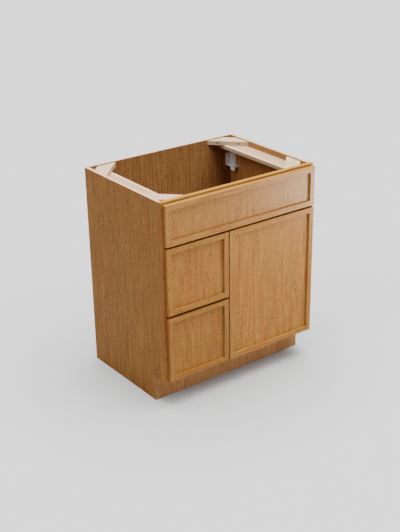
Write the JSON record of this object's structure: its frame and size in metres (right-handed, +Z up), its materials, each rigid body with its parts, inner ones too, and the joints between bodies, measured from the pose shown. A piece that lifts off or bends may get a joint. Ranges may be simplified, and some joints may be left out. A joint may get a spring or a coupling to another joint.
{
  "type": "vanity base cabinet",
  "caption": "Bathroom vanity base cabinet with an open top, a fixed false front, stacked drawers beside a hinged door and a recessed toe kick",
  "frame": {"origin": "on the floor, midway across the width and midway through the whole depth, fronts included", "axes": "+X to the right seen from the front, +Y to the back, +Z up"},
  "size_m": [0.762, 0.5544, 0.8763],
  "materials": {
    "stained_wood": "satin clear coat over a warm brown stain",
    "stained_back": "satin, brown",
    "pale_plywood": "bare plywood",
    "drawer_wood": "satin clear coat",
    "plated_steel": "zinc plated",
    "hinge_steel": "nickel plated",
    "white_plastic": "moulded",
    "orange_plastic": "moulded",
    "clear_rubber": "soft"
  },
  "bodies": {
    "cabinet": {"back_panel": "stained_back", "block_screws": "plated_steel", "bottom_rail": "stained_wood", "bumper_pads": "clear_rubber", "cabinet_floor": "stained_back", "centre_stile": "stained_wood", "drawer_rail": "stained_wood", "false_front_frame": "stained_wood", "false_front_panel": "stained_wood", "false_front_spacers": "white_plastic", "front_left_corner_block": "pale_plywood", "front_right_corner_block": "pale_plywood", "hardware_screws": "plated_steel", "hinge_arms": "hinge_steel", "left_side_panel": "stained_wood", "left_stile": "stained_wood", "left_top_cleat": "pale_plywood", "lower_slide_cabinet_members": "plated_steel", "middle_rail": "stained_wood", "rear_left_corner_block": "pale_plywood", "rear_right_corner_block": "pale_plywood", "right_side_panel": "stained_wood", "right_stile": "stained_wood", "right_top_cleat": "pale_plywood", "slide_rear_brackets": "white_plastic", "toe_kick_backer": "stained_back", "toe_kick_board": "stained_wood", "top_rail": "stained_wood", "upper_slide_cabinet_members": "plated_steel"},
    "door": {"door_frame": "stained_wood", "door_panel": "stained_wood", "hinge_cups": "hinge_steel", "hinge_pins": "hinge_steel", "hinge_cup_screws": "plated_steel"},
    "upper_drawer": {"upper_drawer_bottom": "drawer_wood", "upper_drawer_box_back": "drawer_wood", "upper_drawer_box_front": "drawer_wood", "upper_drawer_front_frame": "stained_wood", "upper_drawer_front_panel": "stained_wood", "upper_drawer_left_side": "drawer_wood", "upper_drawer_lock_housings": "orange_plastic", "upper_drawer_right_side": "drawer_wood", "upper_drawer_screws": "plated_steel", "upper_drawer_slide_members": "plated_steel"},
    "upper_slide_middles": {"upper_slide_middle_members": "plated_steel"},
    "upper_left_lock": {"upper_left_lock_lever": "orange_plastic"},
    "upper_right_lock": {"upper_right_lock_lever": "orange_plastic"},
    "lower_drawer": {"lower_drawer_bottom": "drawer_wood", "lower_drawer_box_back": "drawer_wood", "lower_drawer_box_front": "drawer_wood", "lower_drawer_front_frame": "stained_wood", "lower_drawer_front_panel": "stained_wood", "lower_drawer_left_side": "drawer_wood", "lower_drawer_lock_housings": "orange_plastic", "lower_drawer_right_side": "drawer_wood", "lower_drawer_screws": "plated_steel", "lower_drawer_slide_members": "plated_steel"},
    "lower_slide_middles": {"lower_slide_middle_members": "plated_steel"},
    "lower_left_lock": {"lower_left_lock_lever": "orange_plastic"},
    "lower_right_lock": {"lower_right_lock_lever": "orange_plastic"}
  },
  "joints": [
    {"name": "door_hinge", "type": "hinge", "parent": "cabinet", "child": "door", "pos_m": [0.36686, -0.26477, 0.40799], "axis": [0, 0, 1], "range_deg": [0, 95]},
    {"name": "upper_drawer_slide", "type": "slide", "parent": "cabinet", "child": "upper_drawer", "axis": [0, -1, 0], "range_m": [0, 0.4572]},
    {"name": "upper_middle_slide", "type": "slide", "parent": "cabinet", "child": "upper_slide_middles", "axis": [0, -1, 0], "range_m": [0, 0.2286]},
    {"name": "upper_left_lock_turn", "type": "hinge", "parent": "upper_drawer", "child": "upper_left_lock", "pos_m": [-0.28944, -0.23747, 0.44264], "axis": [0, 0, 1], "range_deg": [0, 12], "stiffness_Nm_per_rad": 0.02},
    {"name": "upper_right_lock_turn", "type": "hinge", "parent": "upper_drawer", "child": "upper_right_lock", "pos_m": [-0.14554, -0.23747, 0.44264], "axis": [0, 0, -1], "range_deg": [0, 12], "stiffness_Nm_per_rad": 0.02},
    {"name": "lower_drawer_slide", "type": "slide", "parent": "cabinet", "child": "lower_drawer", "axis": [0, -1, 0], "range_m": [0, 0.4572]},
    {"name": "lower_middle_slide", "type": "slide", "parent": "cabinet", "child": "lower_slide_middles", "axis": [0, -1, 0], "range_m": [0, 0.2286]},
    {"name": "lower_left_lock_turn", "type": "hinge", "parent": "lower_drawer", "child": "lower_left_lock", "pos_m": [-0.28944, -0.23747, 0.168], "axis": [0, 0, 1], "range_deg": [0, 12], "stiffness_Nm_per_rad": 0.02},
    {"name": "lower_right_lock_turn", "type": "hinge", "parent": "lower_drawer", "child": "lower_right_lock", "pos_m": [-0.14554, -0.23747, 0.168], "axis": [0, 0, -1], "range_deg": [0, 12], "stiffness_Nm_per_rad": 0.02}
  ],
  "couplings": [
    {"joint": "upper_middle_slide", "follows": "upper_drawer_slide", "ratio": 0.5},
    {"joint": "lower_middle_slide", "follows": "lower_drawer_slide", "ratio": 0.5}
  ]
}
